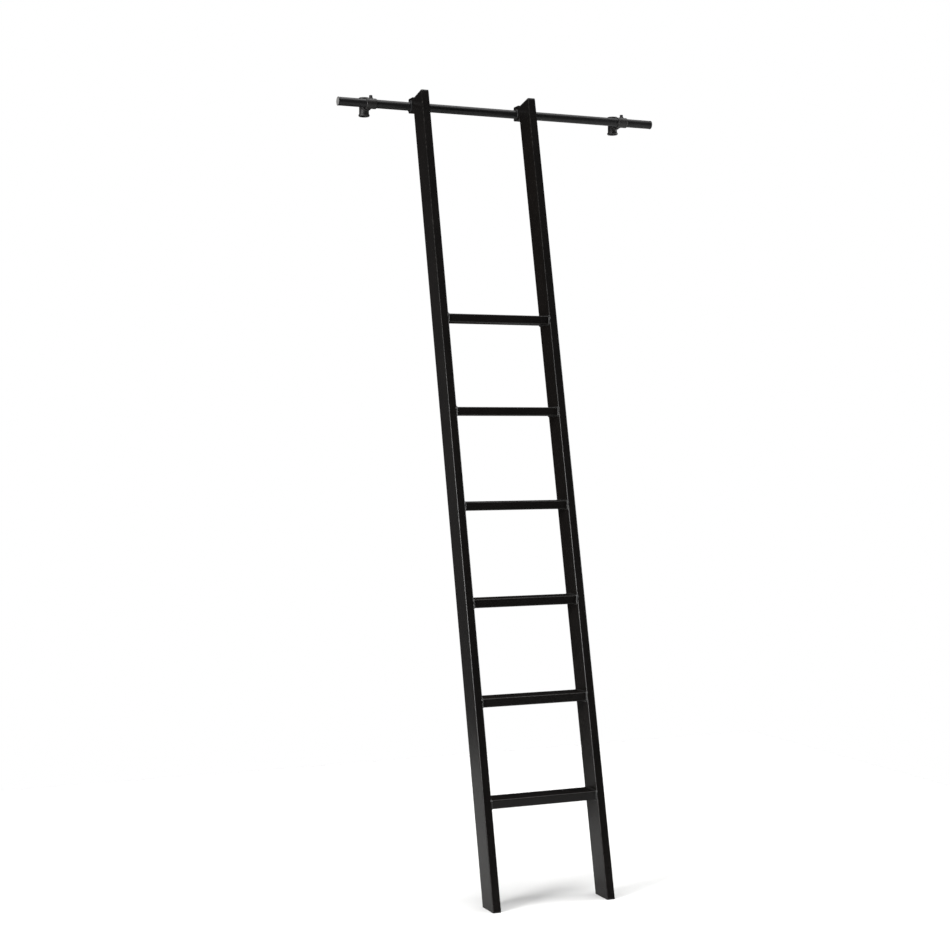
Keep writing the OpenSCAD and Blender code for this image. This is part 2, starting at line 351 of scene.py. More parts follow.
def makePaint(name):
    look = paints[name]
    finish, tree, shader, coords = startFinish(name)
    cloud = objectNoise(tree, coords, coats["cloudScale"], 4.0, 0.6)
    speck = objectNoise(tree, coords, coats["speckScale"], 3.0, 0.6)
    grain = objectNoise(tree, coords, look["grain"], 1.0)
    wave = objectNoise(tree, coords, coats["waveScale"], 1.0)
    tone = blended(tree, ranged(tree, cloud.outputs["Fac"], 0.35, 0.7, 0.0, 1.0), look["dark"], look["light"])
    edge = addNode(tree, "ShaderNodeAttribute", {"attribute_name": "edgeWear"})
    rubbed = times(tree, edge.outputs["Fac"],
                   times(tree, ranged(tree, speck.outputs["Fac"], 0.5, 0.68, 0.0, 1.0), look["wear"]))
    tree.links.new(blended(tree, rubbed, tone, look["worn"]), shader.inputs["Base Color"])
    roughness = reckon(tree, "SUBTRACT", ranged(tree, speck.outputs["Fac"], 0.3, 0.7, *look["rough"]),
                       times(tree, rubbed, coats["rubbedSmooth"]))
    if "streaks" in look:
        # drawn tube: fine streaks along X, rubbed a little smoother where the bushes slide
        stretch = addNode(tree, "ShaderNodeMapping", None, Scale=(coats["streakStretch"], 1.0, 1.0))
        tree.links.new(coords.outputs["Object"], stretch.inputs["Vector"])
        drawn = addNode(tree, "ShaderNodeTexNoise", None, Scale=coats["streakScale"], Detail=3.0)
        tree.links.new(stretch.outputs["Vector"], drawn.inputs["Vector"])
        roughness = reckon(tree, "SUBTRACT", roughness,
                           ranged(tree, drawn.outputs["Fac"], 0.42, 0.62, 0.0, look["streaks"]))
    tree.links.new(roughness, shader.inputs["Roughness"])
    shader.inputs["Specular IOR Level"].default_value = look["specular"]
    broad = bumped(tree, shader, wave.outputs["Fac"], coats["waveHeight"], 0.5)
    bumped(tree, shader, grain.outputs["Fac"], look["height"], 1.0, broad)
    return finish


metals = {
    "face": ((0.48, 0.476, 0.465), (0.4, 0.396, 0.386)),    # clean and stained
    "faceRough": (0.5, 0.6),
    "ringScale": 2600.0,
    "ringHeight": 0.00003,
    "stainScale": 220.0,
    "rim": (0.009, 0.009, 0.0092),
    "rimWidth": (0.0006, 0.0002),       # inside the rail's radius, from bare to painted
    "screw": ((0.03, 0.03, 0.031), (0.075, 0.074, 0.074)),
    "screwRough": (0.3, 0.45),
    "screwScale": 420.0,
    "screwHeight": 0.00002,
    "metallic": 0.8,
}


def makeBrightSteel():
    # a turned face: fine rings about the rail's axis, with light stains
    finish, tree, shader, coords = startFinish("turnedSteel")
    place = addNode(tree, "ShaderNodeMapping", None, Location=(0.0, -railMid.y, -railMid.z))
    tree.links.new(coords.outputs["Object"], place.inputs["Vector"])
    flat = addNode(tree, "ShaderNodeVectorMath", {"operation": "MULTIPLY"})
    flat.inputs[1].default_value = (0.0, 1.0, 1.0)
    tree.links.new(place.outputs["Vector"], flat.inputs[0])
    radius = addNode(tree, "ShaderNodeVectorMath", {"operation": "LENGTH"})
    tree.links.new(flat.outputs["Vector"], radius.inputs[0])
    rings = addNode(tree, "ShaderNodeTexNoise", {"noise_dimensions": "1D"}, Scale=metals["ringScale"],
                    Detail=2.0)
    tree.links.new(radius.outputs["Value"], rings.inputs["W"])
    stain = objectNoise(tree, coords, metals["stainScale"], 3.0)
    bright = blended(tree, ranged(tree, stain.outputs["Fac"], 0.35, 0.7, 0.0, 1.0), *metals["face"])
    # the rim is painted with the rail, and only the face is bare
    bare, painted = (railRadius - width for width in metals["rimWidth"])
    rim = ranged(tree, radius.outputs["Value"], bare, painted, 0.0, 1.0)
    tree.links.new(blended(tree, rim, bright, metals["rim"]), shader.inputs["Base Color"])
    tree.links.new(ranged(tree, rim, 0.0, 1.0, metals["metallic"], 0.0), shader.inputs["Metallic"])
    tree.links.new(ranged(tree, rings.outputs["Fac"], 0.3, 0.7, *metals["faceRough"]),
                   shader.inputs["Roughness"])
    bumped(tree, shader, rings.outputs["Fac"], metals["ringHeight"], 0.6)
    return finish


def makeScrewSteel():
    finish, tree, shader, coords = startFinish("blackOxide")
    mottle = objectNoise(tree, coords, metals["screwScale"], 3.0)
    tree.links.new(blended(tree, mottle.outputs["Fac"], *metals["screw"]), shader.inputs["Base Color"])
    shader.inputs["Metallic"].default_value = metals["metallic"]
    tree.links.new(ranged(tree, mottle.outputs["Fac"], 0.3, 0.7, *metals["screwRough"]),
                   shader.inputs["Roughness"])
    bumped(tree, shader, mottle.outputs["Fac"], metals["screwHeight"], 0.5)
    return finish


mouldings = {
    # darker and lighter colour, roughness range, grain size (per metre) and height
    "blackNylon": ((0.014, 0.014, 0.0145), (0.02, 0.02, 0.021), (0.32, 0.42), 1400.0, 0.00003),
    "capPlastic": ((0.01, 0.01, 0.01), (0.015, 0.015, 0.015), (0.42, 0.55), 1100.0, 0.00006),
    "footRubber": ((0.009, 0.009, 0.009), (0.02, 0.0195, 0.019), (0.62, 0.8), 700.0, 0.0001),
}


def makeMoulded(name):
    # nylon, cap plastic or rubber: even colour with a fine moulded grain
    dark, light, rough, grainScale, grainHeight = mouldings[name]
    finish, tree, shader, coords = startFinish(name)
    cloud = objectNoise(tree, coords, 45.0, 3.0)
    cells = addNode(tree, "ShaderNodeTexVoronoi", {"feature": "SMOOTH_F1"}, Scale=grainScale)
    tree.links.new(coords.outputs["Object"], cells.inputs["Vector"])
    tree.links.new(blended(tree, cloud.outputs["Fac"], dark, light), shader.inputs["Base Color"])
    tree.links.new(ranged(tree, cloud.outputs["Fac"], 0.3, 0.7, *rough), shader.inputs["Roughness"])
    shader.inputs["Specular IOR Level"].default_value = 0.4
    bumped(tree, shader, cells.outputs["Distance"], grainHeight, 0.6)
    return finish


ladderCoat, railCoat = makePaint("ladderCoat"), makePaint("railCoat")
castCoat, weldCoat = makePaint("castCoat"), makePaint("weldCoat")
turnedSteel, blackOxide = makeBrightSteel(), makeScrewSteel()
nylon, capPlastic, footRubber = (makeMoulded(name) for name in mouldings)
print("finishes ready")


# Mesh helpers

def newShape():
    made = bmesh.new()
    made.verts.layers.float.new("edgeWear")
    return made


def addPiece(name, shape, body, finish, slotName, *replaced, sharp=40.0):
    if isinstance(shape, bpy.types.Mesh):
        mesh = shape
        mesh.name = name
    else:
        mesh = bpy.data.meshes.new(name)
        bmesh.ops.recalc_face_normals(shape, faces=shape.faces)
        shape.to_mesh(mesh)
        shape.free()
    mesh.materials.clear()
    mesh.materials.append(finish)
    mesh.shade_smooth()
    mesh.set_sharp_from_angle(angle=math.radians(sharp))
    piece = bpy.data.objects.new(name, mesh)
    bpy.context.scene.collection.objects.link(piece)
    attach(piece, body)
    if replaced:
        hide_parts(*replaced)
    return piece


def baked(piece):
    # the evaluated mesh of a piece with its modifiers; the piece itself is removed
    bpy.context.view_layer.update()
    ready = piece.evaluated_get(bpy.context.evaluated_depsgraph_get())
    mesh = bpy.data.meshes.new_from_object(ready)
    bpy.data.objects.remove(piece)
    return mesh


def looseObject(name, shape):
    mesh = bpy.data.meshes.new(name)
    bmesh.ops.recalc_face_normals(shape, faces=shape.faces)
    shape.to_mesh(mesh)
    shape.free()
    made = bpy.data.objects.new(name, mesh)
    bpy.context.scene.collection.objects.link(made)
    return made


def joinRings(shape, rings, closed=False):
    # quads between neighbouring rings of equal length
    pairs = list(zip(rings, rings[1:])) + ([(rings[-1], rings[0])] if closed else [])
    for first, second in pairs:
        count = len(first)
        for i in range(count):
            j = (i + 1) % count
            shape.faces.new((first[i], first[j], second[j], second[i]))


def addRing(shape, points, wear=None):
    layer = shape.verts.layers.float["edgeWear"]
    ring = []
    for i, point in enumerate(points):
        vert = shape.verts.new(point)
        vert[layer] = wear[i] if wear else 0.0
        ring.append(vert)
    return ring


def roundedOutline(width, depth, radius, steps=7, guard=0.0006):
    # corner arcs, each with a guard point beside it so that the flats shade flat
    points, wear = [], []
    for k, (sx, sy) in enumerate(((1, 1), (-1, 1), (-1, -1), (1, -1))):
        cx, cy = sx * (width / 2 - radius), sy * (depth / 2 - radius)
        start = k * math.pi / 2
        along = Vector((-math.sin(start), math.cos(start)))
        first = Vector((cx + radius * math.cos(start), cy + radius * math.sin(start)))
        points.append(first - along * guard)
        wear.append(0.0)
        for i in range(steps + 1):
            angle = start + i / steps * math.pi / 2
            points.append(Vector((cx + radius * math.cos(angle), cy + radius * math.sin(angle))))
            wear.append(math.sin(i / steps * math.pi))
        end = start + math.pi / 2
        onward = Vector((-math.sin(end), math.cos(end)))
        points.append(points[-1] + onward * guard)
        wear.append(0.0)
    return points, wear


def lathe(shape, outline, base, axis, segments=64, closed=True):
    # turns (radius, distance along axis) points about axis through base
    axis = Vector(axis).normalized()
    side = axis.orthogonal().normalized()
    other = axis.cross(side)
    rings = []
    for radius, reach in outline:
        ring = []
        for i in range(segments):
            angle = 2 * math.pi * i / segments
            spoke = side * math.cos(angle) + other * math.sin(angle)
            ring.append(Vector(base) + axis * reach + spoke * radius)
        rings.append(addRing(shape, ring))
    joinRings(shape, rings, closed)
    if not closed:
        shape.faces.new(rings[0])
        shape.faces.new(rings[-1])


def eased(outline, ease, steps=2):
    # rounds each corner of a closed (radius, distance) outline by about ease, with a guard
    # point each side of it so that what lies between the corners shades true
    made = []
    count = len(outline)
    for i, point in enumerate(outline):
        here = Vector(point)
        before, after = Vector(outline[i - 1]) - here, Vector(outline[(i + 1) % count]) - here
        reach = min(ease, before.length * 0.3, after.length * 0.3)
        start, end = here + before.normalized() * reach, here + after.normalized() * reach
        made.append(tuple(start + before.normalized() * reach * 0.4))
        for k in range(steps + 1):
            t = k / steps
            made.append(tuple(start * (1 - t) ** 2 + here * 2 * t * (1 - t) + end * t ** 2))
        made.append(tuple(end + after.normalized() * reach * 0.4))
    return made


# Stiles and treads

tubes = {
    "corner": 0.003,            # outer corner radius
    "wall": 0.002,
    "endEase": 0.0004,          # burr taken off the cut ends
    "stileDepth": 0.072,
    "capThickness": 0.004,      # of the cap on top of a stile
    "padThickness": 0.003,      # of the rubber under a stile
}


def tubeRings(shape, outer, wear, inner, lowPoint, highPoint):
    # a hollow tube whose ends are eased; the points say where a profile point meets each end
    ease = tubes["endEase"]
    rings = []
    for profile, marks, grow in ((outer, wear, 1.0), (inner, None, -1.0)):
        shrunk = [p * (1 - grow * ease / p.length) for p in profile]
        lengths = [(shrunk, lowPoint, 0.0), (profile, lowPoint, ease), (profile, lowPoint, 3 * ease),
                   (profile, highPoint, -3 * ease), (profile, highPoint, -ease), (shrunk, highPoint, 0.0)]
        if grow < 0:
            lengths.reverse()
        for points, meet, shift in lengths:
            rings.append(addRing(shape, [meet(p, shift) for p in points], marks))
    joinRings(shape, rings, closed=True)


def tubeOutlines(width, depth):
    wall = tubes["wall"]
    outer, wear = roundedOutline(width, depth, tubes["corner"])
    inner, _ = roundedOutline(width - 2 * wall, depth - 2 * wall, tubes["corner"] - wall, guard=0.0003)
    return outer, wear, inner


stileMidY = stileFront.y + tubes["stileDepth"] / 2


def floorCut(side, height):
    # where a profile point of one stile meets a level plane at that height above the floor
    def meet(point, shift):
        x = stileX[side] - ladderX + point.x
        y = stileMidY + point.y
        up = (height - railMid.z + y * math.sin(lean)) / math.cos(lean)
        return ladderAxes @ Vector((x, y, up + shift))
    return meet


def squareCut(side, up):
    def meet(point, shift):
        x = stileX[side] - ladderX + point.x
        return ladderAxes @ Vector((x, stileMidY + point.y, up + shift))
    return meet


def makeStile(side):
    shape = newShape()
    outer, wear, inner = tubeOutlines(stileWidth, tubes["stileDepth"])
    tubeRings(shape, outer, wear, inner, floorCut(side, tubes["padThickness"]),
              squareCut(side, stileTop - tubes["capThickness"]))
    addPiece(f"{side}_stile_tube", shape, "ladder", ladderCoat, "ladder_steel", f"{side}_stile", sharp=50.0)


def makeTread(number):
    low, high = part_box(f"tread_{number}")
    mid = (low + high) / 2

    def meet(edge):
        return lambda point, shift: Vector((edge + shift, mid.y + point.x, mid.z + point.y))

    shape = newShape()
    outer, wear, inner = tubeOutlines(treadSize.y, treadSize.z)
    tubeRings(shape, outer, wear, inner, meet(low.x), meet(high.x))
    addPiece(f"tread_tube_{number}", shape, "ladder", ladderCoat, "ladder_steel", f"tread_{number}",
             sharp=50.0)


for side in stileX:
    makeStile(side)
for number in range(1, 7):
    makeTread(number)
print("stiles and treads made")


# Weld beads, laid along the joints by geometry nodes

welds = {
    "radius": 0.0031,
    "step": 0.0005,             # distance between rings along the bead
    "pitch": 0.003,             # from one ripple to the next
    "ripple": 0.11,             # height of a ripple, as a share of the radius
    "wander": 0.0007,
    "seed": 11.0,
    "driftScale": 140.0,        # of the noise that shifts the ripples
    "drift": 5.0,
    "valley": 0.934,            # thickness between ripples, as a share of the radius
    "sides": 10,
    "eyeInset": 0.0005,         # of a bead under an eye, from the back of its box
    "eyeLift": 0.0006,
}


def newTree(name, *numbers):
    # a geometry tree with these number inputs and a finish
    tree = bpy.data.node_groups.new(name, "GeometryNodeTree")
    inputs = [("Geometry", "NodeSocketGeometry"), *((number, "NodeSocketFloat") for number in numbers),
              ("Finish", "NodeSocketMaterial")]
    for word, kind in inputs:
        tree.interface.new_socket(name=word, in_out="INPUT", socket_type=kind)
    tree.interface.new_socket(name="Geometry", in_out="OUTPUT", socket_type="NodeSocketGeometry")
    return tree, addNode(tree, "NodeGroupInput"), addNode(tree, "NodeGroupOutput")


def paintAndEnd(tree, start, geometry, end):
    single, painted = addNode(tree, "GeometryNodeRealizeInstances"), addNode(tree, "GeometryNodeSetMaterial")
    tree.links.new(geometry, single.inputs["Geometry"])
    tree.links.new(single.outputs["Geometry"], painted.inputs["Geometry"])
    tree.links.new(start.outputs["Finish"], painted.inputs["Material"])
    tree.links.new(painted.outputs["Geometry"], end.inputs["Geometry"])


def makeBeadTree():
    tree, start, end = newTree("rippledBead", "Radius", "Step", "Pitch", "Ripple", "Wander", "Seed")
    link = tree.links.new
    path = addNode(tree, "GeometryNodeMeshToCurve")
    finer = addNode(tree, "GeometryNodeResampleCurve", {"mode": "LENGTH"})
    link(start.outputs["Geometry"], path.inputs["Mesh"])
    link(path.outputs["Curve"], finer.inputs["Curve"])
    link(start.outputs["Step"], finer.inputs["Length"])
    # ripple: a wave along the bead whose phase drifts with noise
    along = addNode(tree, "GeometryNodeSplineParameter")
    phase = reckon(tree, "DIVIDE", along.outputs["Length"], start.outputs["Pitch"])
    drift = addNode(tree, "ShaderNodeTexNoise", {"noise_dimensions": "4D"}, Scale=welds["driftScale"],
                    Detail=1.0)
    link(start.outputs["Seed"], drift.inputs["W"])
    turned = reckon(tree, "MULTIPLY_ADD", phase, math.pi, times(tree, drift.outputs["Fac"], welds["drift"]))
    humps = reckon(tree, "ABSOLUTE", reckon(tree, "SINE", turned))
    swell = reckon(tree, "MULTIPLY_ADD", humps, start.outputs["Ripple"], welds["valley"])
    thickness = times(tree, swell, start.outputs["Radius"])
    # the bead wanders a little off the joint
    wander = addNode(tree, "GeometryNodeSetPosition")
    shake = addNode(tree, "ShaderNodeVectorMath", {"operation": "MULTIPLY_ADD"})
    size = addNode(tree, "ShaderNodeCombineXYZ")
    centred = addNode(tree, "ShaderNodeVectorMath", {"operation": "SUBTRACT"})
    centred.inputs[1].default_value = (0.5, 0.5, 0.5)
    link(drift.outputs["Color"], centred.inputs[0])
    link(centred.outputs["Vector"], shake.inputs[0])
    for axis in "XYZ":
        link(start.outputs["Wander"], size.inputs[axis])
    link(size.outputs["Vector"], shake.inputs[1])
    link(finer.outputs["Curve"], wander.inputs["Geometry"])
    link(shake.outputs["Vector"], wander.inputs["Offset"])
    ring = addNode(tree, "GeometryNodeCurvePrimitiveCircle", None, Resolution=welds["sides"])
    ring.inputs["Radius"].default_value = 1.0
    swept = addNode(tree, "GeometryNodeCurveToMesh")
    link(wander.outputs["Geometry"], swept.inputs["Curve"])
    link(ring.outputs["Curve"], swept.inputs["Profile Curve"])
    link(thickness, swept.inputs["Scale"])
    swept.inputs["Fill Caps"].default_value = True
    paintAndEnd(tree, start, swept.outputs["Mesh"], end)
    return tree


def runTree(name, shape, tree, **values):
    # gives a loose shape the tree with these inputs, and returns the plain mesh
    holder = looseObject(name, shape)
    modifier = holder.modifiers.new("laid", "NODES")
    modifier.node_group = tree
    for item in tree.interface.items_tree:
        if item.item_type == "SOCKET" and item.in_out == "INPUT" and item.name in values:
            modifier[item.identifier] = values[item.name]
    return baked(holder)


def addPath(shape, points, closed):
    verts = [shape.verts.new(p) for p in points]
    for i in range(len(verts) - (0 if closed else 1)):
        shape.edges.new((verts[i], verts[(i + 1) % len(verts)]))


def makeWelds():
    tree = makeBeadTree()
    sizes = {"Radius": welds["radius"], "Step": welds["step"], "Pitch": welds["pitch"],
             "Ripple": welds["ripple"], "Wander": welds["wander"], "Seed": welds["seed"], "Finish": weldCoat}
    paths = bmesh.new()
    outline, _ = roundedOutline(treadSize.y, treadSize.z, tubes["corner"], 4, 0.0)
    outline = [p for i, p in enumerate(outline) if (p - outline[i - 1]).length > 1e-6]
    for number in range(1, 7):
        low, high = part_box(f"tread_{number}")
        mid = (low + high) / 2
        for x in (low.x, high.x):
            addPath(paths, [Vector((x, mid.y + p.x, mid.z + p.y)) for p in outline], True)
    mesh = runTree("treadBeads", paths, tree, **sizes)
    addPiece("tread_weld_beads", mesh, "ladder", weldCoat, "weld_steel", "tread_welds", sharp=180.0)
    paths = bmesh.new()
    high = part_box("eye_welds")[1]
    half = stileWidth / 2 - tubes["corner"]
    back = high.y - welds["eyeInset"] - welds["radius"] + welds["eyeLift"]
    for x in stileX.values():
        addPath(paths, [Vector((x + reach, back, high.z)) for reach in (-half, half)], False)
    mesh = runTree("eyeBeads", paths, tree, **sizes)
    addPiece("eye_weld_beads", mesh, "ladder", weldCoat, "weld_steel", "eye_welds", sharp=180.0)


makeWelds()
print("welds laid")


# Caps, pads and eyes on the stiles

caps = {
    "ease": 0.0012,             # roundness of the cap's top rim
    "inset": 0.0003,            # how far the cap stands back from the tube's faces
    "plug": 0.012,              # length of the plug inside the tube
    "padEase": 0.0008,
    "padPlug": 0.014,
    "plugRoom": 0.0002,
    "plugCorner": 0.001,
    "guard": 0.0006,            # between an eased rim and the flat beside it
    "rimSteps": 4,
}


def plugOutline():
    wall = tubes["wall"] + caps["plugRoom"]
    return roundedOutline(stileWidth - 2 * wall, tubes["stileDepth"] - 2 * wall, caps["plugCorner"])[0]


def stackProfiles(name, levels, finish, slotName, node):
    # a closed stack of profiles, each drawn in by its inset and placed by its own rule
    shape = newShape()
    rings = []
    for profile, inset, meet in levels:
        points = [Vector((math.copysign(max(abs(p.x) - inset, 0.0), p.x),
                          math.copysign(max(abs(p.y) - inset, 0.0), p.y))) for p in profile]
        rings.append(addRing(shape, [meet(p, 0.0) for p in points]))
    joinRings(shape, rings)
    shape.faces.new(rings[0])
    shape.faces.new(rings[-1])
    addPiece(name, shape, "ladder", finish, slotName, node)


def makeCap(side):
    # a moulded cap with an eased rim on top of the tube and a plug inside it
    inset, ease, low = caps["inset"], caps["ease"], stileTop - tubes["capThickness"]
    outline, _ = roundedOutline(stileWidth - 2 * inset, tubes["stileDepth"] - 2 * inset,
                                tubes["corner"] - inset)
    plug = plugOutline()
    levels = [(plug, 0.0, low - caps["plug"]), (plug, 0.0, low), (outline, 0.0, low),
              (outline, 0.0, low + caps["guard"])]
    for k in range(caps["rimSteps"] + 1):
        turn = k / caps["rimSteps"] * math.pi / 2
        levels.append((outline, ease * (1 - math.cos(turn)), stileTop - ease * (1 - math.sin(turn))))
    levels.append((outline, ease + caps["guard"], stileTop))
    stackProfiles(f"{side}_stile_cap",
                  [(profile, drawnIn, squareCut(side, up)) for profile, drawnIn, up in levels],
                  capPlastic, "cap_plastic", f"{side}_top_cap")


def makePad(side):
    # a rubber pad under the level cut, with a plug inside the tube
    ease, thickness = caps["padEase"], tubes["padThickness"]
    outline, _ = roundedOutline(stileWidth, tubes["stileDepth"], tubes["corner"])
    plug = plugOutline()
    levels = [(outline, ease, 0.0), (outline, 0.3 * ease, 0.3 * ease), (outline, 0.0, ease),
              (outline, 0.0, thickness), (plug, 0.0, thickness), (plug, 0.0, thickness + caps["padPlug"])]
    stackProfiles(f"{side}_foot_rubber",
                  [(profile, drawnIn, floorCut(side, up)) for profile, drawnIn, up in levels],
                  footRubber, "foot_rubber", f"{side}_foot_pad")


eyes = {
    "corner": 0.004,
    "ease": 0.0008,
    "boreRadius": 0.01462,
    "boreSteps": 64,
    "cornerSteps": 8,
    "guard": 0.0004,            # between the bevel and the flat beside it
}


def makeEye(side):
    # a bevelled plate with a hole, drawn as a filled curve in the rail's cross-section
    low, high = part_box(f"{side}_rail_eye")
    ease = eyes["ease"]
    stileBackY = stileFront.y + tubes["stileDepth"]

    def faceY(z):
        # y of the stile's back face at height z
        return railMid.y + stileBackY / math.cos(lean) + (z - railMid.z) * leanTangent

    data = bpy.data.curves.new("eyeOutline", "CURVE")
    data.dimensions = "2D"
    data.fill_mode = "BOTH"
    data.extrude = stileWidth / 2 - ease
    data.bevel_depth = ease
    data.bevel_resolution = 2
    data.offset = -ease
    corner = eyes["corner"]
    outline = [(faceY(low.z), low.z)]
    for cy, cz, start in ((high.y - corner, low.z + corner, -90), (high.y - corner, high.z - corner, 0)):
        for k in range(eyes["cornerSteps"] + 1):
            turn = math.radians(start + k * 90 / eyes["cornerSteps"])
            outline.append((cy + corner * math.cos(turn), cz + corner * math.sin(turn)))
    outline.append((faceY(high.z), high.z))
    hole = []
    for k in range(eyes["boreSteps"]):
        turn = 2 * math.pi * k / eyes["boreSteps"]
        hole.append((railMid.y + eyes["boreRadius"] * math.cos(turn),
                     railMid.z + eyes["boreRadius"] * math.sin(turn)))
    for points in (outline, hole):
        spline = data.splines.new("POLY")
        spline.points.add(len(points) - 1)
        spline.use_cyclic_u = True
        for spot, (y, z) in zip(spline.points, points):
            spot.co = (y - railMid.y, z - railMid.z, 0.0, 1.0)
    holder = bpy.data.objects.new("eyeOutline", data)
    bpy.context.scene.collection.objects.link(holder)
    mesh = baked(holder)
    # the curve's x, y and z become y, z and x
    upright = Matrix(((0, 0, 1, stileX[side]), (1, 0, 0, railMid.y), (0, 1, 0, railMid.z), (0, 0, 0, 1)))
    mesh.transform(upright)
    shape = bmesh.new()
    shape.from_mesh(mesh)
    bmesh.ops.remove_doubles(shape, verts=shape.verts, dist=0.00001)
    flats = [face for face in shape.faces if abs(face.normal.x) > 0.999]
    bmesh.ops.inset_region(shape, faces=flats, thickness=eyes["guard"], use_boundary=True, use_even_offset=True)
    addPiece(f"{side}_eye_plate", shape, "ladder", ladderCoat, "ladder_steel", f"{side}_rail_eye")


for side in stileX:
    makeCap(side)
    makePad(side)
    makeEye(side)
print("caps, pads and eyes made")


# Glide bushes

bushes = {
    "room": 0.00006,            # between the rail and the bore
    "barrel": 0.002,            # wall inside the eye
    "lip": 0.0032,              # wall of the lip at the eye's inner face
    "lipTaper": (0.0006, 0.0012),       # inwards and along the rail
    "flange": 0.0033,           # how far the flange stands outside the eye
    "play": 0.0003,             # between the eye and the lip or the flange
    "ease": 0.0005,
}


def makeBush(side):
    low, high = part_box(f"{side}_glide_bush")
    outward = -1.0 if side == "left" else 1.0
    mid = Vector((stileX[side], railMid.y, railMid.z))
    bore = railRadius + bushes["room"]
    barrel, flange, lip = bore + bushes["barrel"], (high.z - low.z) / 2, bore + bushes["lip"]
    outer = stileWidth / 2 + bushes["flange"]
    inner, grip = outer - (high.x - low.x), stileWidth / 2 + bushes["play"]
    taperIn, taperAlong = bushes["lipTaper"]
    outline = [(bore, inner), (lip - taperIn, inner), (lip, inner + taperAlong), (lip, -grip),
               (barrel, -grip), (barrel, grip), (flange, grip), (flange, outer), (bore, outer)]
    shape = newShape()
    lathe(shape, eased(outline, bushes["ease"]), mid, (outward, 0.0, 0.0), 72)
    addPiece(f"{side}_nylon_bush", shape, "glide_bushes", nylon, "nylon", f"{side}_glide_bush", sharp=50.0)


for side in stileX:
    makeBush(side)
print("bushes made")


# Rail, end caps and brackets

rails = {
    "wall": 0.0015,
    "endEase": 0.0004,
    "capProud": 0.0005,
    "capEase": 0.0009,
    "capDome": 0.0008,
    "capBevel": 0.0003,         # where the cap meets the tube
    "capPlug": 0.012,
    "plugRoom": 0.0001,
    "plugEase": 0.0005,
    "hub": 0.0001,              # radius of the small flat that closes the plug
}


def makeRail():
    low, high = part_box("rail_tube")
    inner = railRadius - rails["wall"]
    outline = [(railRadius, 0.0), (railRadius, high.x - low.x), (inner, high.x - low.x), (inner, 0.0)]
    shape = newShape()
    lathe(shape, eased(outline, rails["endEase"]), (low.x, railMid.y, railMid.z), (1, 0, 0), 96)
    addPiece("rail_pipe", shape, "rail", railCoat, "rail_steel", "rail_tube", sharp=50.0)


def makeEndCap(side):
    low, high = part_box(f"{side}_rail_end_cap")
    outward = -1.0 if side == "left" else 1.0
    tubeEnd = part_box("rail_tube")[0 if side == "left" else 1].x
    button = abs((low.x if side == "left" else high.x) - tubeEnd)
    rim = railRadius + rails["capProud"]
    plug = railRadius - rails["wall"] - rails["plugRoom"]
    plugLength, plugEase = rails["capPlug"], rails["plugEase"]
    ease, dome, bevel = rails["capEase"], rails["capDome"], rails["capBevel"]
    outline = [(rails["hub"], -plugLength), (plug - plugEase, -plugLength), (plug, plugEase - plugLength),
               (plug, 0.0), (rim - bevel, 0.0), (rim, bevel)]
    for k in range(6):
        turn = k / 5 * math.pi / 2
        outline.append((rim - ease * (1 - math.cos(turn)), button - dome - ease * (1 - math.sin(turn))))
    for share in (0.75, 0.5, 0.25, 0.01):
        outline.append((rim * share, button - dome * share ** 2))
    shape = newShape()
    lathe(shape, outline, (tubeEnd, railMid.y, railMid.z), (outward, 0, 0), 72, closed=False)
    addPiece(f"{side}_end_button", shape, "rail", turnedSteel, "bright_steel", f"{side}_rail_end_cap",
             sharp=50.0)


brackets = {
    "voxel": 0.0006,
    "smooth": 6,
    "ease": 0.001,
    "beadWidth": 0.007,
    "beadEase": 0.0016,
    "teeBead": 0.002,
    "branchStep": 0.001,        # how much thinner a tee's branch is than its run
    "postBore": 0.0109,
    "nippleWall": 0.0026,
    "socketDepth": 0.008,       # of the short pipe in the sleeve's boss
    "bossRadius": 0.0062,       # of the screw's boss on the sleeve
    "bossEase": 0.0008,
    "socketWall": 0.003,        # of the sleeve's boss round the short pipe
    "sleeveEase": 0.0012,
    "room": 0.00005,            # between a short pipe or the rail and its bore
    "cutOver": 0.01,            # how far a cutter reaches past what it bores
}


def castBody(name, parts, bores):
    # overlapping turned parts are fused by a voxel remesh, smoothed, and then bored
    shape = newShape()
    for outline, base, axis in parts:
        lathe(shape, outline, base, axis, 48, closed=False)
    body = looseObject(name, shape)
    fuse = body.modifiers.new("fuse", "REMESH")
    fuse.mode = "VOXEL"
    fuse.voxel_size = brackets["voxel"]
    soft = body.modifiers.new("soft", "SMOOTH")
    soft.iterations = brackets["smooth"]
    soft.factor = 0.5
    for k, (radius, base, axis, length) in enumerate(bores):
        cutter = newShape()
        lathe(cutter, [(radius, 0.0), (radius, length)], base, axis, 64, closed=False)
        tool = looseObject(f"{name}Cutter{k}", cutter)
        cut = body.modifiers.new(f"bore{k}", "BOOLEAN")
        cut.operation = "DIFFERENCE"
        cut.solver = "EXACT"
        cut.object = tool
    mesh = baked(body)
    for k in range(len(bores)):
        bpy.data.objects.remove(bpy.data.objects[f"{name}Cutter{k}"])
    return mesh


def drum(radius, start, end, ease):
    # a plain turned drum with eased rims, as (radius, distance) points
    return [(radius - ease, start), (radius, start + ease), (radius, end - ease), (radius - ease, end)]


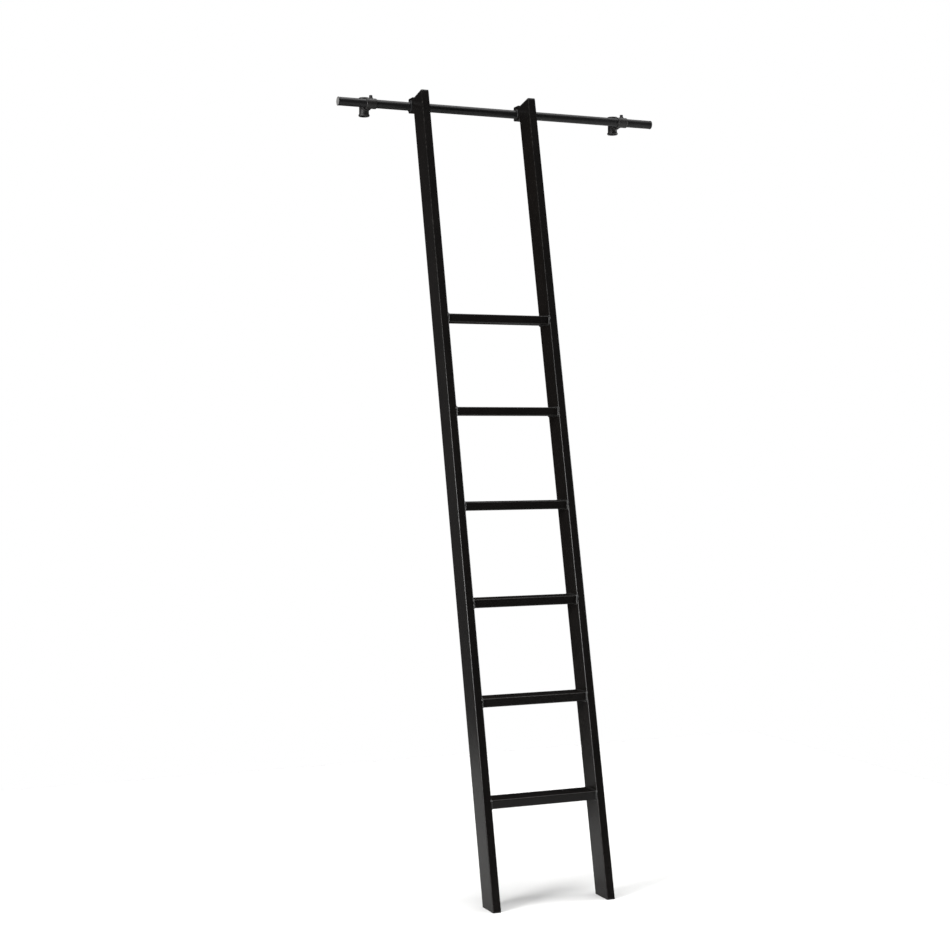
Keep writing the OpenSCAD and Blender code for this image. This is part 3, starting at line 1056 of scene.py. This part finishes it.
def makeTee(side):
    low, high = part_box(f"{side}_post_tee")
    proud, bead = brackets["teeBead"], brackets["beadWidth"]
    beadRadius = (high.x - low.x) / 2
    radius = beadRadius - proud
    postY = high.y - beadRadius
    height = high.z - low.z
    x = bracketX[side]
    foot, front = (x, postY, low.z), (x, low.y, railMid.z)
    branch = radius - brackets["branchStep"]
    ease, beadEase, over = brackets["ease"], brackets["beadEase"], brackets["cutOver"]
    parts = [(drum(radius, ease, height - ease, ease), foot, (0, 0, 1)),
             (drum(beadRadius, 0.0, bead, beadEase), foot, (0, 0, 1)),
             (drum(beadRadius, height - bead, height, beadEase), foot, (0, 0, 1)),
             (drum(branch, ease, postY - low.y, ease), front, (0, 1, 0)),
             (drum(branch + proud, 0.0, bead, beadEase), front, (0, 1, 0))]
    nippleBore = extent(f"{side}_pipe_nipple").x / 2 + brackets["room"]
    bores = [(brackets["postBore"], (x, postY, low.z - over), (0, 0, 1), height + 2 * over),
             (nippleBore, (x, low.y - over, railMid.z), (0, 1, 0), 2 * over)]
    mesh = castBody(f"{side}Tee", parts, bores)
    addPiece(f"{side}_tee_casting", mesh, "rail", castCoat, "fitting_steel", f"{side}_post_tee")


def makeSleeve(side):
    low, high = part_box(f"{side}_rail_sleeve")
    x = bracketX[side]
    length = high.x - low.x
    radius = railMid.z - low.z
    nipple, over, depth = extent(f"{side}_pipe_nipple").x / 2, brackets["cutOver"], brackets["socketDepth"]
    centre = (x, railMid.y, railMid.z)
    parts = [(drum(radius, 0.0, length, brackets["sleeveEase"]), (low.x, railMid.y, railMid.z), (1, 0, 0)),
             (drum(nipple + brackets["socketWall"], 0.0, high.y - railMid.y, brackets["ease"]), centre,
              (0, 1, 0)),
             (drum(brackets["bossRadius"], 0.0, high.z - railMid.z, brackets["bossEase"]), centre, (0, 0, 1))]
    bores = [(railRadius + brackets["room"], (low.x - over, railMid.y, railMid.z), (1, 0, 0),
              length + 2 * over),
             (nipple + brackets["room"], (x, high.y - depth, railMid.z), (0, 1, 0), depth + over)]
    mesh = castBody(f"{side}Sleeve", parts, bores)
    addPiece(f"{side}_sleeve_casting", mesh, "rail", castCoat, "fitting_steel", f"{side}_rail_sleeve")


def makeNipple(side):
    low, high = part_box(f"{side}_pipe_nipple")
    radius = (high.x - low.x) / 2
    length, inner = high.y - low.y, radius - brackets["nippleWall"]
    outline = [(radius, 0.0), (radius, length), (inner, length), (inner, 0.0)]
    shape = newShape()
    lathe(shape, eased(outline, rails["endEase"]), (bracketX[side], low.y, railMid.z), (0, 1, 0), 64)
    addPiece(f"{side}_pipe_stub", shape, "rail", railCoat, "rail_steel", f"{side}_pipe_nipple", sharp=50.0)


screws = {
    "headRadius": 0.005,
    "headHeight": 0.006,
    "shank": 0.003,             # radius
    "socketFlat": 0.005,        # across the hexagon's flats
    "grubSocket": 0.003,
    "grubDepth": 0.0026,
    "ridges": 30,               # of the knurl round a cap head
    "ridgeHeight": 0.0036,
    "ridgeRadius": 0.00028,
    "ridgeUp": 0.0026,          # from the head's base to the ridges' middle
    "knurlRoom": 0.0002,        # how far the plain head stands in from the knurl
    "headEase": 0.0006,
    "socketBevel": 0.0002,
    "socketFloor": 0.45,        # share of the head's height
    "tip": 0.0005,
    "tipShare": 0.8,            # of the shank's radius
    "knurlInset": 0.0003,
    "grubRoom": 0.00002,
    "grubEase": 0.0004,
    "grubTip": (0.7, 0.3),      # radius and length of the point, as shares of the shank
    "segments": 72,
}


def hexRing(radius, count):
    # radius of a hexagon at each of count angles
    made = []
    for i in range(count):
        angle = (2 * math.pi * i / count) % (math.pi / 3) - math.pi / 6
        made.append(radius * math.cos(math.pi / 6) / math.cos(angle))
    return made


def stackRings(shape, base, axis, levels):
    # closes a stack of rings, each a list of radii and how far along the axis it lies
    axis = Vector(axis)
    side = axis.orthogonal().normalized()
    other = axis.cross(side)
    rings = []
    for radii, reach in levels:
        points = []
        for i, radius in enumerate(radii):
            angle = 2 * math.pi * i / len(radii)
            spoke = side * math.cos(angle) + other * math.sin(angle)
            points.append(Vector(base) + axis * reach + spoke * radius)
        rings.append(addRing(shape, points))
    joinRings(shape, rings)
    shape.faces.new(rings[0])
    shape.faces.new(rings[-1])


def capScrew(shape, base, radius, height, shank, shankLength, socketFlat):
    # a cap head with an eased rim and a hexagon socket, standing on its shank
    ease, count, bevel = screws["headEase"], screws["segments"], screws["socketBevel"]
    hexagon = hexRing(socketFlat / math.sqrt(3), count)
    even = [(shank * screws["tipShare"], -shankLength), (shank, -shankLength + screws["tip"]),
            (shank, 0.0), (radius, 0.0), (radius, height - ease),
            (radius - ease * 0.3, height - ease * 0.3), (radius - ease, height)]
    levels = [([size] * count, reach) for size, reach in even]
    levels += [([h + bevel for h in hexagon], height), (hexagon, height - bevel),
               (hexagon, height * screws["socketFloor"])]
    stackRings(shape, base, (0, 0, 1), levels)


def makeKnurlTree():
    # small ridges set round a screw head, one on each point of the ring that it is given
    tree, start, end = newTree("knurl", "Ridge Height", "Ridge Radius")
    link = tree.links.new
    ridge = addNode(tree, "GeometryNodeMeshCylinder", None, Vertices=6)
    link(start.outputs["Ridge Height"], ridge.inputs["Depth"])
    link(start.outputs["Ridge Radius"], ridge.inputs["Radius"])
    placed = addNode(tree, "GeometryNodeInstanceOnPoints")
    link(start.outputs["Geometry"], placed.inputs["Points"])
    link(ridge.outputs["Mesh"], placed.inputs["Instance"])
    paintAndEnd(tree, start, placed.outputs["Instances"], end)
    return tree


def makeScrews():
    low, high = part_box("rail_set_screws")
    headBase = high.z - screws["headHeight"]
    shape = newShape()
    for x in bracketX.values():
        capScrew(shape, (x, railMid.y, headBase), screws["headRadius"] - screws["knurlRoom"],
                 screws["headHeight"], screws["shank"], headBase - low.z, screws["socketFlat"])
    addPiece("rail_cap_screws", shape, "rail", blackOxide, "screw_steel", "rail_set_screws")
    spots = bmesh.new()
    ringRadius = screws["headRadius"] - screws["knurlInset"]
    for x in bracketX.values():
        for k in range(screws["ridges"]):
            turn = 2 * math.pi * k / screws["ridges"]
            spots.verts.new((x + ringRadius * math.cos(turn), railMid.y + ringRadius * math.sin(turn),
                             headBase + screws["ridgeUp"]))
    mesh = runTree("knurl", spots, makeKnurlTree(), Finish=blackOxide,
                   **{"Ridge Height": screws["ridgeHeight"], "Ridge Radius": screws["ridgeRadius"]})
    addPiece("rail_screw_knurl", mesh, "rail", blackOxide, "screw_steel")
    low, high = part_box("post_set_screws")
    length, shank, count = high.y - low.y, screws["shank"] - screws["grubRoom"], screws["segments"]
    ease, (tip, point) = screws["grubEase"], screws["grubTip"]
    even = [(shank * tip, 0.0), (shank, shank * point), (shank, length - ease), (shank - ease, length)]
    hexagon = hexRing(screws["grubSocket"] / math.sqrt(3), count)
    levels = [([size] * count, reach) for size, reach in even]
    levels += [(hexagon, length), (hexagon, length - screws["grubDepth"])]
    shape = newShape()
    for x in bracketX.values():
        stackRings(shape, (x, low.y, railMid.z), (0, 1, 0), levels)
    addPiece("post_grub_screws", shape, "rail", blackOxide, "screw_steel", "post_set_screws")


makeRail()
for side in bracketX:
    makeEndCap(side)
    makeNipple(side)
    makeTee(side)
    makeSleeve(side)
makeScrews()
print("rail and brackets made")
